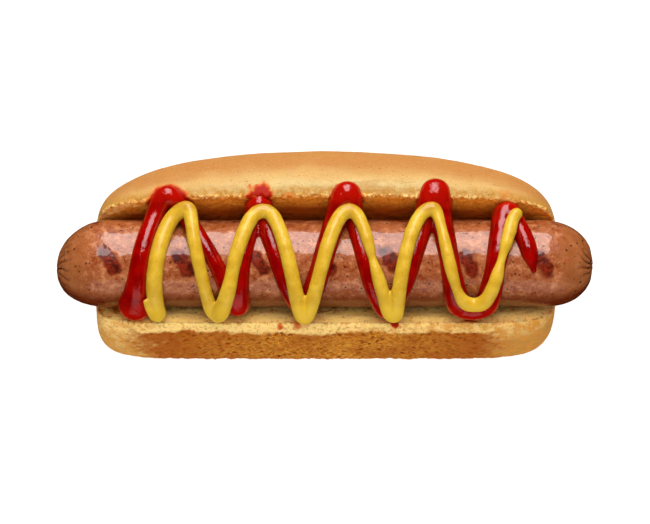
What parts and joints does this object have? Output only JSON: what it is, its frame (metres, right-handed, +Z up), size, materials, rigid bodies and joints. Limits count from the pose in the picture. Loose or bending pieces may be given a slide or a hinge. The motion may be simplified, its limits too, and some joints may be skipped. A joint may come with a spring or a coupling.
{
  "type": "hot dog",
  "caption": "Grilled sausage in a side-cut soft bun, opening upward, with ketchup and mustard piped over it in zigzags.",
  "frame": {"origin": "under the middle of the whole, on the surface it rests on", "axes": "+X along the sausage, +Y to the bun's domed half, +Z up, out of the cut in the bun"},
  "size_m": [0.1744, 0.0682, 0.0493],
  "materials": {
    "bun": "soft baked crust, matt, with a cut crumb",
    "sausage": "grilled casing, greasy sheen",
    "ketchup": "wet gloss",
    "mustard": "satin"
  },
  "bodies": {
    "root": {"bun": "bun", "sausage": "sausage", "ketchup": "ketchup", "mustard": "mustard"}
  },
  "joints": []
}
